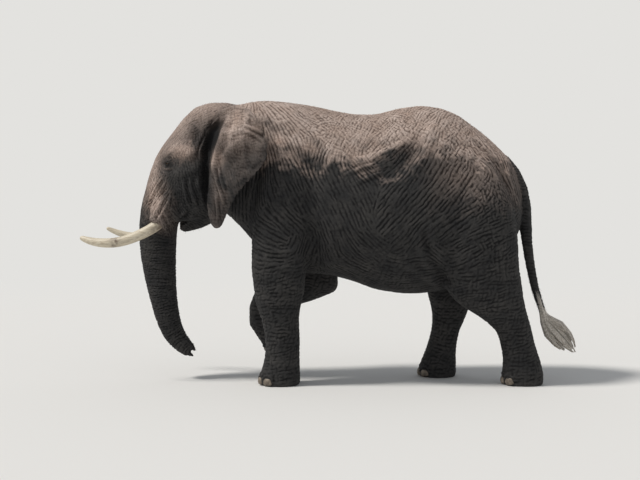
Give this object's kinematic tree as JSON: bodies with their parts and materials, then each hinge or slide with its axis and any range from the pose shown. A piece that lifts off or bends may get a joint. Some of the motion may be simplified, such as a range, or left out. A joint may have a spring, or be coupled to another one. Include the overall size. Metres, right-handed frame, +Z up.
{
  "type": "african bush elephant",
  "caption": "Still, life-size African bush elephant bull in mid-walk, with the right forefoot lifted, trunk hanging and tusks curving forward.",
  "frame": {"origin": "on the floor, under the middle of the whole animal's bounding box", "axes": "+Z up; the animal walks towards -X, its left side faces -Y and its tail is towards +X"},
  "size_m": [5.7068, 1.4802, 3.224],
  "materials": {
    "hide": "rough, wrinkled and dusty",
    "ivory": "worn satin ivory",
    "nail": "satin horn",
    "eye": "wet gloss",
    "hair": "coarse wiry hair"
  },
  "bodies": {
    "root": {"ear_left": "hide", "tusk_left": "ivory", "eye_left": "eye", "ear_right": "hide", "tusk_right": "ivory", "eye_right": "eye", "torso": "hide", "neck": "hide", "head": "hide", "trunk_upper": "hide", "trunk_middle": "hide", "trunk_tip": "hide", "leg_front_left_upper": "hide", "leg_front_left_lower": "hide", "leg_front_left_foot": "hide", "leg_hind_left_upper": "hide", "leg_hind_left_lower": "hide", "leg_hind_left_foot": "hide", "leg_hind_right_upper": "hide", "leg_hind_right_lower": "hide", "leg_hind_right_foot": "hide", "leg_front_right_upper": "hide", "leg_front_right_lower": "hide", "leg_front_right_foot": "hide", "nail_front_left_1": "nail", "nail_front_left_2": "nail", "nail_front_left_3": "nail", "nail_front_left_4": "nail", "nail_front_right_1": "nail", "nail_front_right_2": "nail", "nail_front_right_3": "nail", "nail_front_right_4": "nail", "nail_hind_left_1": "nail", "nail_hind_left_2": "nail", "nail_hind_left_3": "nail", "nail_hind_right_1": "nail", "nail_hind_right_2": "nail", "nail_hind_right_3": "nail", "tail_upper": "hide", "tail_lower": "hide", "tail_brush": "hair"}
  },
  "joints": []
}
